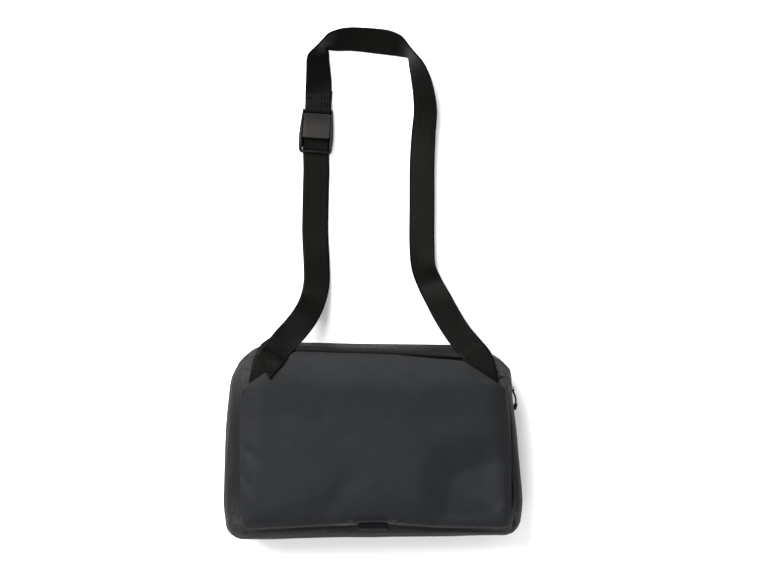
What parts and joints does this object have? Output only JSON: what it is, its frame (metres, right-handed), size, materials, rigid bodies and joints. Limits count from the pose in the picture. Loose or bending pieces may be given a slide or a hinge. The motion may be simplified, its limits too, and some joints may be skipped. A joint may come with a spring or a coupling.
{
  "type": "handlebar bag",
  "caption": "Soft welded-fabric handlebar bag with a lapped front panel, a zip round its top and a webbing shoulder strap with a cam buckle, lying on its back.",
  "frame": {"origin": "middle of the back panel, on the surface that the bag lies on", "axes": "+Z out of the bag's front, +Y towards its top and along the laid-out strap, +X to its right as seen from the front"},
  "size_m": [0.2778, 0.4806, 0.0856],
  "materials": {
    "body_fabric": "coated ripstop, satin",
    "panel_fabric": "coated ripstop, matte",
    "webbing": "tightly woven, matte",
    "buckle_metal": "dark satin",
    "zip_black": "matte"
  },
  "bodies": {
    "bag": {"body_shell": "body_fabric", "front_panel": "panel_fabric", "back_panel": "body_fabric", "bar_band": "webbing", "zip_tape": "zip_black", "zip_slider": "buckle_metal", "zip_pull_cord": "zip_black", "zip_pull_grip": "zip_black", "bottom_tab": "webbing", "strap_long": "webbing", "strap_short": "webbing", "strap_tab": "webbing", "buckle_frame": "buckle_metal", "buckle_pin": "buckle_metal"},
    "lever": {"buckle_lever": "buckle_metal"}
  },
  "joints": [
    {"name": "lever_lift", "type": "hinge", "parent": "bag", "child": "lever", "pos_m": [-0.05364, 0.28791, 0.0058], "axis": [0.9976, -0.0698, 0], "range_deg": [0, 65], "stiffness_Nm_per_rad": 0.02}
  ]
}
